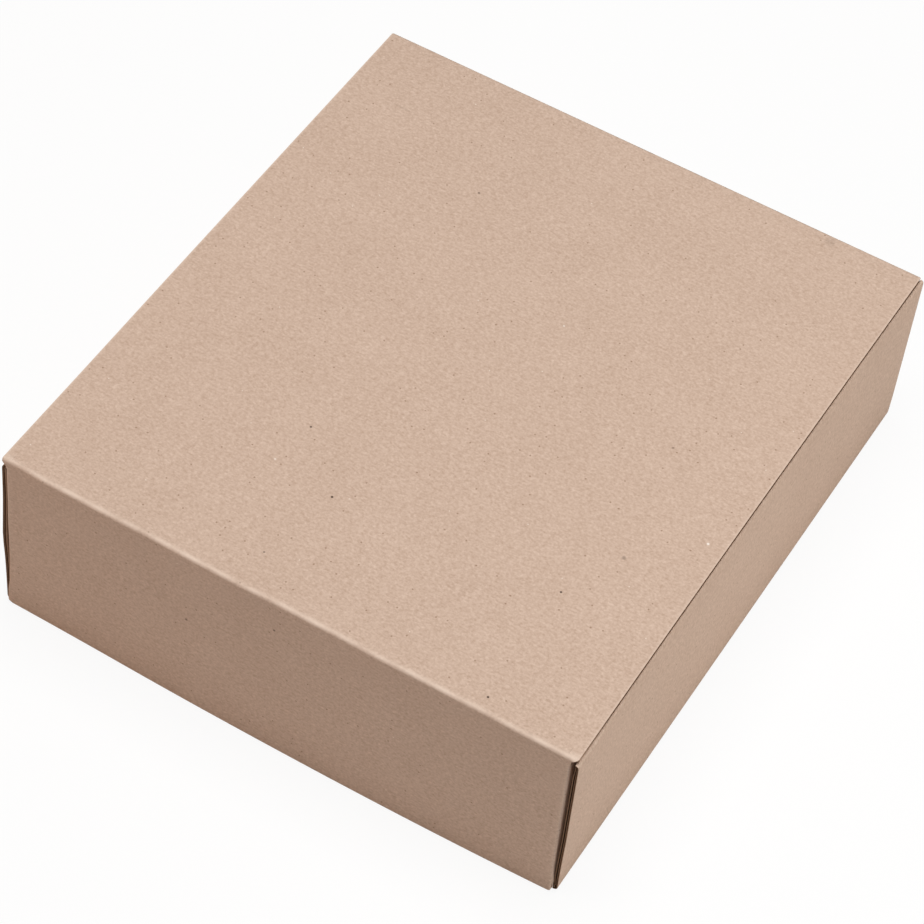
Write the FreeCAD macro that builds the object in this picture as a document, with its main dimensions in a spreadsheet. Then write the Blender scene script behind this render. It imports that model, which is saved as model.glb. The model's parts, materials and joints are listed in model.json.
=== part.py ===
import FreeCAD, Part
import os
import Sketcher

# A closed corrugated mailer, folded from one sheet of board. Millimetres, +Z up, +Y to the back.
# The origin is the centre of the bottom's underside. The sheet lies in two bodies, split only at
# the crease between the lid and the front flap, because that crease turns.

SIZES = [
    ("box_width", 220, "outside, left to right"),
    ("box_depth", 250, "outside, front crease to back wall"),
    ("box_height", 75, "outside, floor to lid"),
    ("board", 1.5, "thickness of the corrugated board"),
    ("fold_radius", 0.3, "inside of every fold"),
    ("layer_gap", 0.3, "between two layers of board that lie together"),
    ("pocket_gap", 0.6, "between a side's outer wall and the ear beside it"),
    ("lid_gap", 0.4, "between the lid and the walls under it"),
    ("hinge_gap", 0.3, "between the flap's crease and the lid's edge"),
    ("front_ear_length", 70, "front wall's ears, from the wall's outer face"),
    ("back_ear_length", 60, "back wall's ears, from the wall's outer face"),
    ("flap_ear_length", 32, "flap's ears, from the flap's outer face"),
    ("ear_corner", 9, "rounded corners of all ears"),
    ("flap_bow", 3, "how far the flap's lower edge springs out at its middle"),
    ("flap_rise", 0.5, "flap's lower edge above the floor"),
    ("flap_corner", 4, "rounded lower corners of the flap"),
    ("lid_corner", 1.2, "rounded back corners of the lid"),
    ("tab_width", 42, "lock tabs under the inner side walls"),
    ("tab_spacing", 120, "between the middles of a side's two tabs"),
    ("tab_rise", 0.3, "tab ends above the floor"),
    ("slot_gap", 0.3, "around a tab in its slot"),
]

# Faces of the panels, as expressions of the sizes.
FOLD_OUTSIDE = "(Sizes.board + Sizes.fold_radius)"
SIDE_X = "(Sizes.box_width / 2)"
FLAP_X = f"({SIDE_X} - Sizes.board - Sizes.pocket_gap)"
FRONT_WALL_X = f"({FLAP_X} - Sizes.board - Sizes.layer_gap)"
INNER_WALL_X = f"({FRONT_WALL_X} - Sizes.board - Sizes.layer_gap)"
INNER_FACE_X = f"({INNER_WALL_X} - Sizes.board)"
FLAP_PANEL_X = f"({FLAP_X} - {FOLD_OUTSIDE})"
FRONT_PANEL_X = f"({FRONT_WALL_X} - {FOLD_OUTSIDE})"
LID_NOTCH_X = f"({FLAP_PANEL_X} + Sizes.hinge_gap)"
FRONT_Y = "(-Sizes.box_depth / 2)"
BACK_Y = "(Sizes.box_depth / 2)"
FRONT_WALL_Y = f"({FRONT_Y} + Sizes.board + Sizes.layer_gap)"
ROLL_FRONT_Y = f"({FRONT_WALL_Y} + Sizes.board + Sizes.layer_gap)"
ROLL_BACK_Y = f"({BACK_Y} - Sizes.board - Sizes.layer_gap)"
CREASE_Y = f"({FRONT_Y} + Sizes.board / 2)"
CREASE_Z = "(Sizes.box_height - Sizes.board / 2)"
LID_UNDERSIDE_Z = "(Sizes.box_height - Sizes.board)"
WALL_TOP_Z = f"({LID_UNDERSIDE_Z} - Sizes.lid_gap)"
EAR_TOP_Z = f"({WALL_TOP_Z} - Sizes.board - Sizes.layer_gap)"
EAR_BOTTOM_Z = "(Sizes.board + Sizes.layer_gap)"
FLAP_EAR_BOTTOM_Z = "(Sizes.flap_rise + Sizes.flap_corner + Sizes.board)"
FLAP_EAR_TOP_Z = f"({WALL_TOP_Z} - Sizes.hinge_gap)"

CLOSE = 1e-6
LINE_START, LINE_END, ARC_CENTRE = 1, 2, 3
ORIGIN_GEOMETRY, ORIGIN_POINT = -1, 1


def make_sizes(document):
    """Puts the driving dimensions in the sheet, one row each: meaning, value."""
    sheet = document.addObject("Spreadsheet::Sheet", "Sizes")
    for row, (alias, value, meaning) in enumerate(SIZES, start=1):
        sheet.set(f"A{row}", f"{alias}: {meaning}")
        sheet.set(f"B{row}", str(value))
        sheet.setAlias(f"B{row}", alias)
    document.recompute()


def make_sketch(body, name, plane_role, offset=None):
    """A sketch on one of the body's own origin planes, lifted off it by an expression."""
    sketch = body.newObject("Sketcher::SketchObject", name)
    plane = next(item for item in body.Origin.OriginFeatures if item.Role == plane_role)
    sketch.AttachmentSupport = [(plane, "")]
    sketch.MapMode = "FlatFace"
    if offset:
        sketch.setExpression("AttachmentOffset.Base.z", offset)
    return sketch


def bind_coordinate(sketch, kind, geometry, point, expression):
    """Ties one coordinate of a point to an expression, measured from the sketch's origin."""
    value = sketch.evalExpression(expression)
    if value < 0:
        constraint = Sketcher.Constraint(kind, geometry, point, ORIGIN_GEOMETRY, ORIGIN_POINT, -value)
        expression = f"-({expression})"
    else:
        constraint = Sketcher.Constraint(kind, ORIGIN_GEOMETRY, ORIGIN_POINT, geometry, point, value)
    index = sketch.addConstraint(constraint)
    sketch.setExpression(f"Constraints[{index}]", expression)


def bind_radius(sketch, geometry, expression):
    """Ties the radius of an arc or circle to an expression."""
    value = sketch.evalExpression(expression)
    index = sketch.addConstraint(Sketcher.Constraint("Radius", geometry, value))
    sketch.setExpression(f"Constraints[{index}]", expression)


def keep_straight(sketch, line, step):
    """Keeps a line level or upright, as its direction is."""
    direction = "Horizontal" if abs(step.x) > abs(step.y) else "Vertical"
    sketch.addConstraint(Sketcher.Constraint(direction, line))


def add_loop(sketch, corners):
    """Joins points in a closed loop of straight lines and returns the lines."""
    lines = []
    for start, end in zip(corners, corners[1:] + corners[:1]):
        lines.append(sketch.addGeometry(Part.LineSegment(start, end), False))
    for line, following in zip(lines, lines[1:] + lines[:1]):
        sketch.addConstraint(Sketcher.Constraint("Coincident", line, LINE_END, following, LINE_START))
    return lines


def add_rectangle(sketch, left, right, bottom, top):
    """An upright rectangle between four expressions."""
    x1, x2, y1, y2 = (sketch.evalExpression(side) for side in (left, right, bottom, top))
    corners = [FreeCAD.Vector(x, y, 0) for x, y in ((x1, y1), (x2, y1), (x2, y2), (x1, y2))]
    lines = add_loop(sketch, corners)
    for line, start, end in zip(lines, corners, corners[1:] + corners[:1]):
        keep_straight(sketch, line, end - start)
    bind_coordinate(sketch, "DistanceX", lines[0], LINE_START, left)
    bind_coordinate(sketch, "DistanceY", lines[0], LINE_START, bottom)
    bind_coordinate(sketch, "DistanceX", lines[2], LINE_START, right)
    bind_coordinate(sketch, "DistanceY", lines[2], LINE_START, top)


def add_bent_strip(sketch, corners, turn=1):
    """The cut face of a folded board.

    Its outer face runs through the corners, pairs of expressions with every line level or
    upright, and each bend turns to the left (turn 1) or to the right (turn -1). The inner face
    is one board away on that side, and both faces round the bends about the same centres.
    """
    board = sketch.evalExpression("Sizes.board")
    outside = sketch.evalExpression(FOLD_OUTSIDE)
    points = [FreeCAD.Vector(*(sketch.evalExpression(value) for value in pair), 0) for pair in corners]
    steps = [(end - start).normalize() for start, end in zip(points, points[1:])]
    sides = [FreeCAD.Vector(-step.y, step.x, 0) * turn for step in steps]
    last = len(steps) - 1
    faces = []
    for depth, radius in ((0, FOLD_OUTSIDE), (board, "Sizes.fold_radius")):
        lines = []
        for place, (step, side) in enumerate(zip(steps, sides)):
            start = points[place] + side * depth + step * (outside if place > 0 else 0)
            end = points[place + 1] + side * depth - step * (outside if place < last else 0)
            line = sketch.addGeometry(Part.LineSegment(start, end), False)
            keep_straight(sketch, line, step)
            along_x = abs(step.x) > abs(step.y)
            face = corners[place][1] if along_x else corners[place][0]
            if depth:
                inward = side.y if along_x else side.x
                face = f"({face} {'+' if inward > 0 else '-'} Sizes.board)"
            bind_coordinate(sketch, "DistanceY" if along_x else "DistanceX", line, LINE_START, face)
            lines.append(line)
        join_bends(sketch, lines, points, steps, sides, outside, radius, turn)
        faces.append(lines)
    close_strip_end(sketch, faces, corners[0], steps[0], 0, LINE_START)
    close_strip_end(sketch, faces, corners[-1], steps[-1], last, LINE_END)


def join_bends(sketch, lines, points, steps, sides, outside, radius, turn):
    """Puts a tangent arc between each line of one face and the next."""
    size = sketch.evalExpression(radius)
    for place in range(len(lines) - 1):
        centre = points[place + 1] + (sides[place] - steps[place]) * outside
        rays = [sides[place] * -1, sides[place + 1] * -1][::turn]
        angles = [FreeCAD.Vector(1, 0, 0).getAngle(ray) * (1 if ray.y >= 0 else -1) for ray in rays]
        circle = Part.Circle(centre, FreeCAD.Vector(0, 0, 1), size)
        arc = sketch.addGeometry(Part.ArcOfCircle(circle, angles[0], angles[1]), False)
        first, second = (LINE_START, LINE_END)[::turn]
        sketch.addConstraint(Sketcher.Constraint("Tangent", lines[place], LINE_END, arc, first))
        sketch.addConstraint(Sketcher.Constraint("Tangent", arc, second, lines[place + 1], LINE_START))
        bind_radius(sketch, arc, radius)


def close_strip_end(sketch, faces, corner, step, place, point):
    """The raw edge that joins the outer and inner faces at one end of a strip."""
    outer, inner = faces[0][place], faces[1][place]
    ends = [sketch.getPoint(line, point) for line in (outer, inner)]
    cap = sketch.addGeometry(Part.LineSegment(ends[0], ends[1]), False)
    sketch.addConstraint(Sketcher.Constraint("Coincident", cap, LINE_START, outer, point))
    sketch.addConstraint(Sketcher.Constraint("Coincident", cap, LINE_END, inner, point))
    keep_straight(sketch, cap, ends[1] - ends[0])
    along_x = abs(step.x) > abs(step.y)
    kind, expression = ("DistanceX", corner[0]) if along_x else ("DistanceY", corner[1])
    bind_coordinate(sketch, kind, outer, point, expression)


def add_circle(sketch, centre, radius):
    """A circle whose centre and radius are expressions."""
    place = FreeCAD.Vector(*(sketch.evalExpression(value) for value in centre), 0)
    round_line = Part.Circle(place, FreeCAD.Vector(0, 0, 1), sketch.evalExpression(radius))
    circle = sketch.addGeometry(round_line, False)
    bind_coordinate(sketch, "DistanceX", circle, ARC_CENTRE, centre[0])
    bind_coordinate(sketch, "DistanceY", circle, ARC_CENTRE, centre[1])
    bind_radius(sketch, circle, radius)


def add_pad(body, name, sketch, length, symmetric=False):
    """Thickens a sketch along its normal, or half to each side."""
    pad = body.newObject("PartDesign::Pad", name)
    pad.Profile = sketch
    pad.SideType = "Symmetric" if symmetric else "One side"
    pad.setExpression("Length", length)
    return pad


def add_pocket(body, name, sketch, length, symmetric=False):
    """Cuts a sketch against its normal, or half to each side, and checks that it cut."""
    before = body.Shape.Volume
    pocket = body.newObject("PartDesign::Pocket", name)
    pocket.Profile = sketch
    pocket.SideType = "Symmetric" if symmetric else "One side"
    pocket.setExpression("Length", length)
    body.Document.recompute()
    if body.Shape.Volume >= before:
        raise ValueError(f"{name} cuts nothing")
    return pocket


def round_corners(body, name, radius, axis, wanted):
    """Rounds the straight edges along an axis whose middle passes the test."""
    body.Document.recompute()
    base = body.Tip
    names = []
    for number, edge in enumerate(base.Shape.Edges, start=1):
        start, end = edge.Vertexes[0].Point, edge.Vertexes[-1].Point
        step = end - start
        if step.Length < CLOSE or abs(abs(step.normalize().dot(axis)) - 1) > CLOSE:
            continue
        if wanted((start + end) * 0.5):
            names.append(f"Edge{number}")
    if not names:
        raise ValueError(f"{name} finds no edge")
    fillet = body.newObject("PartDesign::Fillet", name)
    fillet.Base = (base, names)
    fillet.setExpression("Radius", radius)
    body.Document.recompute()


def make_middle_strips(body):
    """Bottom, back wall and lid in one bent strip, and the front wall in another."""
    back = make_sketch(body, "BackStripSection", "YZ_Plane")
    foot_y = f"({FRONT_WALL_Y} + {FOLD_OUTSIDE})"
    add_bent_strip(back, [(foot_y, "0"), (BACK_Y, "0"), (BACK_Y, "Sizes.box_height"),
                          (CREASE_Y, "Sizes.box_height")])
    add_pad(body, "BackStrip", back, f"2 * {FLAP_PANEL_X}", symmetric=True)
    front = make_sketch(body, "FrontStripSection", "YZ_Plane")
    add_bent_strip(front, [(FRONT_WALL_Y, WALL_TOP_Z), (FRONT_WALL_Y, "0"), ("0", "0")])
    add_pad(body, "FrontStrip", front, f"2 * {FRONT_PANEL_X}", symmetric=True)


def make_wide_panels(body):
    """Bottom and lid out to the side walls, and the lid's two front corners."""
    bottom = make_sketch(body, "BottomOutline", "XY_Plane")
    edge_x = f"({SIDE_X} - {FOLD_OUTSIDE})"
    add_rectangle(bottom, f"-{edge_x}", edge_x, f"({FRONT_WALL_Y} + {FOLD_OUTSIDE})",
                  f"({BACK_Y} - {FOLD_OUTSIDE})")
    add_pad(body, "Bottom", bottom, "Sizes.board")
    lid = make_sketch(body, "LidOutline", "XY_Plane", LID_UNDERSIDE_Z)
    add_rectangle(lid, f"-{SIDE_X}", SIDE_X, CREASE_Y, f"({BACK_Y} - {FOLD_OUTSIDE})")
    add_pad(body, "Lid", lid, "Sizes.board")
    corners = make_sketch(body, "LidCornerOutlines", "XY_Plane", LID_UNDERSIDE_Z)
    behind_y = f"({CREASE_Y} + Sizes.board)"
    add_rectangle(corners, LID_NOTCH_X, SIDE_X, FRONT_Y, behind_y)
    add_rectangle(corners, f"-{SIDE_X}", f"-{LID_NOTCH_X}", FRONT_Y, behind_y)
    add_pad(body, "LidCorners", corners, "Sizes.board")


def make_tray_ears(body):
    """The front and back walls with the ears that turn from them into the side walls."""
    front = make_sketch(body, "FrontEarSection", "XY_Plane", EAR_BOTTOM_Z)
    front_end = f"({FRONT_WALL_Y} + Sizes.front_ear_length)"
    add_bent_strip(front, [(f"-{FRONT_WALL_X}", front_end), (f"-{FRONT_WALL_X}", FRONT_WALL_Y),
                           (FRONT_WALL_X, FRONT_WALL_Y), (FRONT_WALL_X, front_end)])
    height = f"{EAR_TOP_Z} - {EAR_BOTTOM_Z}"
    add_pad(body, "FrontEars", front, height)
    back = make_sketch(body, "BackEarSection", "XY_Plane", EAR_BOTTOM_Z)
    back_end = f"({BACK_Y} - Sizes.back_ear_length)"
    add_bent_strip(back, [(FLAP_X, back_end), (FLAP_X, BACK_Y), (f"-{FLAP_X}", BACK_Y),
                          (f"-{FLAP_X}", back_end)])
    add_pad(body, "BackEars", back, height)
    ends = [back.evalExpression(front_end), back.evalExpression(back_end)]
    round_corners(body, "EarCorners", "Sizes.ear_corner", FreeCAD.Vector(1, 0, 0),
                  lambda middle: min(abs(middle.y - end) for end in ends) < CLOSE)


def make_side_walls(body):
    """A rolled side: outer wall, top strip, inner wall and lock tabs, then its mirror image."""
    outer = make_sketch(body, "OuterWallSection", "XZ_Plane", f"-{BACK_Y}")
    foot_x = f"({SIDE_X} - {FOLD_OUTSIDE} - Sizes.board)"
    add_bent_strip(outer, [(foot_x, "0"), (SIDE_X, "0"), (SIDE_X, WALL_TOP_Z)])
    outer_pad = add_pad(body, "OuterWall", outer, "Sizes.box_depth")
    roll = make_sketch(body, "RolledWallSection", "XZ_Plane", f"-{ROLL_BACK_Y}")
    middle_z = "(Sizes.box_height / 2)"
    add_bent_strip(roll, [(SIDE_X, middle_z), (SIDE_X, WALL_TOP_Z), (INNER_FACE_X, WALL_TOP_Z),
                          (INNER_FACE_X, EAR_BOTTOM_Z)])
    roll_pad = add_pad(body, "RolledWall", roll, f"{ROLL_BACK_Y} - {ROLL_FRONT_Y}")
    slots = make_sketch(body, "SlotOutlines", "XY_Plane", "Sizes.board")
    tabs = make_sketch(body, "TabOutlines", "XY_Plane", "Sizes.tab_rise")
    for sign in ("-", ""):
        low = f"({sign}Sizes.tab_spacing / 2 - Sizes.tab_width / 2)"
        high = f"({sign}Sizes.tab_spacing / 2 + Sizes.tab_width / 2)"
        add_rectangle(slots, f"({INNER_FACE_X} - Sizes.slot_gap)", f"({INNER_WALL_X} + Sizes.slot_gap)",
                      f"({low} - Sizes.slot_gap)", f"({high} + Sizes.slot_gap)")
        add_rectangle(tabs, INNER_FACE_X, INNER_WALL_X, low, high)
    body.Document.recompute()
    slot_pocket = add_pocket(body, "Slots", slots, "Sizes.board")
    tab_pad = add_pad(body, "Tabs", tabs, f"{EAR_BOTTOM_Z} + Sizes.board - Sizes.tab_rise")
    mirror = body.newObject("PartDesign::Mirrored", "OtherSide")
    mirror.Originals = [outer_pad, roll_pad, slot_pocket, tab_pad]
    plane = next(item for item in body.Origin.OriginFeatures if item.Role == "YZ_Plane")
    mirror.MirrorPlane = (plane, [""])
    body.Tip = mirror


def cut_crease_seat(body):
    """The lid's front edge: round above the crease's axis, and upright below it, behind the flap."""
    seat_radius = "(Sizes.board / 2 + Sizes.hinge_gap)"
    seat = make_sketch(body, "CreaseSeatSection", "YZ_Plane")
    add_circle(seat, (CREASE_Y, CREASE_Z), seat_radius)
    add_pocket(body, "CreaseSeat", seat, f"2 * {LID_NOTCH_X}", symmetric=True)
    relief = make_sketch(body, "CreaseReliefSection", "YZ_Plane")
    add_rectangle(relief, CREASE_Y, f"({CREASE_Y} + {seat_radius})", LID_UNDERSIDE_Z, CREASE_Z)
    add_pocket(body, "CreaseRelief", relief, f"2 * {LID_NOTCH_X}", symmetric=True)


def make_box_body(document):
    """Tray and lid: one folded piece, its lid lying on the walls."""
    body = document.addObject("PartDesign::Body", "BoxBody")
    body.Label = "box_body"
    make_middle_strips(body)
    make_wide_panels(body)
    document.recompute()
    cut_crease_seat(body)
    lid_back = body.Tip.evalExpression(f"{BACK_Y} - {FOLD_OUTSIDE}")
    lid_side = body.Tip.evalExpression(SIDE_X)
    middle_z = body.Tip.evalExpression("Sizes.box_height / 2")
    round_corners(body, "LidBackCorners", "Sizes.lid_corner", FreeCAD.Vector(0, 0, 1),
                  lambda middle: middle.z > middle_z and abs(middle.y - lid_back) < CLOSE
                  and abs(abs(middle.x) - lid_side) < CLOSE)
    make_tray_ears(body)
    make_side_walls(body)
    return body


def make_flap_panel(body):
    """The flap's sheet: straight at its crease, bowed outward along its free lower edge."""
    inner_y = f"({FRONT_Y} + Sizes.board)"
    top = make_sketch(body, "FlapTopSection", "XY_Plane", CREASE_Z)
    add_rectangle(top, f"-{FLAP_PANEL_X}", FLAP_PANEL_X, FRONT_Y, inner_y)
    low = make_sketch(body, "FlapLowerSection", "XY_Plane", "Sizes.flap_rise")
    add_bowed_rectangle(low, FLAP_PANEL_X, FRONT_Y, inner_y, "Sizes.flap_bow")
    loft = body.newObject("PartDesign::AdditiveLoft", "FlapPanel")
    loft.Profile = top
    loft.Sections = [low]
    loft.Ruled = True


def add_bowed_rectangle(sketch, half_width, front, back, bow):
    """A rectangle whose two long sides are arcs that swell toward the front by the bow."""
    half, near, far, swell = (sketch.evalExpression(value) for value in (half_width, front, back, bow))
    radius = f"(({half_width}) ^ 2 + ({bow}) ^ 2) / (2 * {bow})"
    arcs = []
    for y in (near, far):
        bulge = Part.Arc(FreeCAD.Vector(-half, y, 0), FreeCAD.Vector(0, y - swell, 0),
                         FreeCAD.Vector(half, y, 0))
        arcs.append(sketch.addGeometry(bulge, False))
    for arc, face in zip(arcs, (front, back)):
        bind_coordinate(sketch, "DistanceX", arc, LINE_START, f"-{half_width}")
        bind_coordinate(sketch, "DistanceX", arc, LINE_END, half_width)
        bind_coordinate(sketch, "DistanceY", arc, LINE_START, face)
        bind_coordinate(sketch, "DistanceY", arc, LINE_END, face)
        bind_radius(sketch, arc, radius)
    for point, x in ((LINE_START, -half), (LINE_END, half)):
        end = sketch.addGeometry(Part.LineSegment(FreeCAD.Vector(x, near, 0), FreeCAD.Vector(x, far, 0)), False)
        sketch.addConstraint(Sketcher.Constraint("Coincident", end, LINE_START, arcs[0], point))
        sketch.addConstraint(Sketcher.Constraint("Coincident", end, LINE_END, arcs[1], point))


def make_flap_ears(body):
    """Two ears that turn from the flap's ends into the pockets of the side walls."""
    ears = make_sketch(body, "FlapEarSections", "XY_Plane", FLAP_EAR_BOTTOM_Z)
    ear_end = f"({FRONT_Y} + Sizes.flap_ear_length)"
    root_x = f"({FLAP_PANEL_X} - Sizes.board)"
    add_bent_strip(ears, [(root_x, FRONT_Y), (FLAP_X, FRONT_Y), (FLAP_X, ear_end)])
    add_bent_strip(ears, [(f"-{root_x}", FRONT_Y), (f"-{FLAP_X}", FRONT_Y), (f"-{FLAP_X}", ear_end)], turn=-1)
    add_pad(body, "FlapEars", ears, f"{FLAP_EAR_TOP_Z} - {FLAP_EAR_BOTTOM_Z}")
    body.Document.recompute()
    relief = make_sketch(body, "EarReliefOutline", "YZ_Plane")
    add_rectangle(relief, f"({ROLL_FRONT_Y} - Sizes.layer_gap)", f"({ear_end} + Sizes.board)",
                  EAR_TOP_Z, "Sizes.box_height")
    add_pocket(body, "EarRelief", relief, "Sizes.box_width", symmetric=True)
    end = body.Tip.evalExpression(ear_end)
    round_corners(body, "FlapEarCorners", "Sizes.ear_corner", FreeCAD.Vector(1, 0, 0),
                  lambda middle: abs(middle.y - end) < CLOSE)


def make_front_flap(document):
    """The lid's front flap, with a round crease that turns in the lid's edge."""
    body = document.addObject("PartDesign::Body", "FrontFlap")
    body.Label = "front_flap"
    make_flap_panel(body)
    document.recompute()
    low = body.Tip.evalExpression("Sizes.flap_rise + Sizes.flap_corner")
    side = body.Tip.evalExpression(FLAP_PANEL_X)
    round_corners(body, "FlapCorners", "Sizes.flap_corner", FreeCAD.Vector(0, 1, 0),
                  lambda middle: middle.z < low and abs(abs(middle.x) - side) < CLOSE)
    crease = make_sketch(body, "FlapCreaseSection", "YZ_Plane")
    add_circle(crease, (CREASE_Y, CREASE_Z), "Sizes.board / 2")
    add_pad(body, "FlapCrease", crease, f"2 * {FLAP_PANEL_X}", symmetric=True)
    make_flap_ears(body)
    return body


def check_document(document, bodies):
    """Stops if any object failed or a sub-part isn't one valid solid."""
    for item in document.Objects:
        if "Invalid" in item.State or "Error" in item.State:
            raise ValueError(f"{item.Name} failed")
        if item.isDerivedFrom("Sketcher::SketchObject") and not item.FullyConstrained:
            raise ValueError(f"{item.Name} isn't fully constrained")
    for body in bodies:
        if body.Shape.isNull() or not body.Shape.isValid() or len(body.Shape.Solids) != 1:
            raise ValueError(f"{body.Label} isn't one valid solid")


def main():
    document = FreeCAD.newDocument("ClosedBox")
    make_sizes(document)
    bodies = [make_box_body(document), make_front_flap(document)]
    for body in bodies:
        body.Placement = FreeCAD.Placement()
    document.recompute()
    check_document(document, bodies)
    os.makedirs("parts", exist_ok=True)
    for body in bodies:
        body.Shape.exportStep(f"parts/{body.Label}.step")
        print(body.Label, round(body.Shape.Volume), "mm3", body.Shape.BoundBox)


main()
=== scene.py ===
"""A closed mailer box of thin corrugated board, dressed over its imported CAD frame.

The real box is one die-cut sheet of E-flute board, folded. Here each stretch of that sheet is a
path of straight runs and quarter bends, carried along a width. Every stretch has the two paper
liners and, where a cut edge shows it, the wavy medium between them. Shapes are worked out in
millimetres as whole numpy arrays and put into Blender in metres, in the CAD's own frame.
"""

import json
import logging
import math
from collections.abc import Callable
from dataclasses import dataclass, field
from enum import Enum

import bpy
import numpy as np
from mathutils import Matrix, Vector


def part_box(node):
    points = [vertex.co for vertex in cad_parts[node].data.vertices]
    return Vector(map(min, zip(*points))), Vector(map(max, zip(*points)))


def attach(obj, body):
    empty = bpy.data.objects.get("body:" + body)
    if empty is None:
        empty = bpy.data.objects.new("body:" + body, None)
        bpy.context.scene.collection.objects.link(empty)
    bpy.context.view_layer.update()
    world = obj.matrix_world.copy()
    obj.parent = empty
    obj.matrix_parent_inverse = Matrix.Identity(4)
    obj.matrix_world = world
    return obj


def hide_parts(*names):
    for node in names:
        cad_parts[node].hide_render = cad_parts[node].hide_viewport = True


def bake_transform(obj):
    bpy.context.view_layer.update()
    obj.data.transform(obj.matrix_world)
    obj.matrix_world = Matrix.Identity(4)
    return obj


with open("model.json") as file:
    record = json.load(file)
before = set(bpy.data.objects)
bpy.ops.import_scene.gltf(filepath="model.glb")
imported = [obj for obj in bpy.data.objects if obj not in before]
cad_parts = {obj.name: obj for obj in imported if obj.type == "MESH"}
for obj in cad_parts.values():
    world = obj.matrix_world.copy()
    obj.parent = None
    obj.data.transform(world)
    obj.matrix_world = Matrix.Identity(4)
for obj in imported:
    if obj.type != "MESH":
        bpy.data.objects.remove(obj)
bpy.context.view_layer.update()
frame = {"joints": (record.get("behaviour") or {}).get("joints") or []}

LOG = logging.getLogger("mailer_box")
MM = 0.001
# Rows of points closer than this are joined.
CLOSE_MM = 0.02
BEND_ROWS = 8
CORNER_ROWS = 10
# Rows over a rounded corner stop just short of a quarter turn, in radians.
CORNER_TURN = 1.55
CELLS_PER_FLUTE = 8
PAPER_IOR = 1.45
# The board's crush is full this near a bend's middle, and gone at the second distance.
CRUSH_MM = (1.2, 3.2)
SHARP_DEGREES = 40
# The Wave node draws one band to this length at a scale of one.
WAVE_LENGTH = math.pi / 10

Array = np.ndarray
Rule = Callable[[Array, Array], Array]
Waves = tuple[tuple[float, float, float], ...]
Tree = bpy.types.NodeTree
Socket = bpy.types.NodeSocket


class Plane(Enum):
    """The plane that a fold path lies in. The sheet is wide along the third axis."""

    SIDE = (1, 2, 0)
    FRONT = (0, 2, 1)
    TOP = (0, 1, 2)

    def place(self, flat: Array, width: Array) -> Array:
        """Puts path points and widths into space.

        Args:
            flat: path points, the last axis holding the plane's two coordinates.
            width: the coordinate along the third axis, one for each point.

        Returns:
            Points, the last axis holding x, y and z.
        """
        points = np.empty(width.shape + (3,))
        first, second, third = self.value
        points[..., first] = flat[..., 0]
        points[..., second] = flat[..., 1]
        points[..., third] = width
        return points


class Flutes(Enum):
    """Which way the flutes of a stretch run."""

    ACROSS_PATH = "across"
    ALONG_PATH = "along"


class Side(Enum):
    """Left or right half of the box, as a sign on x."""

    LEFT = -1
    RIGHT = 1


class Face(Enum):
    """What a face of the board is, as the number of its finish."""

    PRINT = 0
    CUT = 1
    # The medium and the liner faces toward it: partly the medium's own brown, partly painted shade of
    # the flute cavities.
    FLUTE = 2
    # Inner faces: partly the inner liner's own darker tone, partly painted shade for the pockets and
    # gaps between layers.
    INSIDE = 3


def ramp(value: Array, start: float, end: float) -> Array:
    """Nought at the start and one at the end, straight between them and level beyond."""
    return np.clip((value - start) / (end - start), 0, 1)


def bell(gap: Array, reach: float) -> Array:
    """One at no distance, falling as e to the minus square of the distance over the reach."""
    return np.exp(-((gap / reach) ** 2))


def waves(along: Array, rows: Waves) -> Array:
    """Sum of sines. A row holds each one's length over two pi, its phase and its size."""
    return sum(size * np.sin(along / length + phase) for length, phase, size in rows)


def corner_draw(gap: Array, radius: Array | float) -> Array:
    """How far a rounded corner draws an edge in: its radius less a quarter circle's height."""
    inset = np.clip(radius - gap, 0, radius)
    return radius - np.sqrt(radius ** 2 - inset ** 2)


def corner_rows(end: float, radius: float) -> list[float]:
    """Places for rows of points before a rounded corner, closer together toward its end."""
    turns = np.linspace(0, CORNER_TURN, CORNER_ROWS)
    return [end - radius * (1 - math.sin(turn)) for turn in turns]


@dataclass(frozen=True)
class Board:
    """E-flute board, in millimetres: two liners and a wavy medium."""

    thickness: float = 1.5
    liner: float = 0.26
    medium: float = 0.2
    pitch: float = 3.2
    bend: float = 1.8
    glue_line: float = 0.02

    def medium_depth(self, across: Array) -> Array:
        """Depth of the medium's middle: half the board plus a sine of one flute pitch."""
        reach = self.thickness / 2 - self.liner - self.medium / 2 - self.glue_line
        return self.thickness / 2 + reach * np.sin(2 * np.pi * across / self.pitch)


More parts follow.
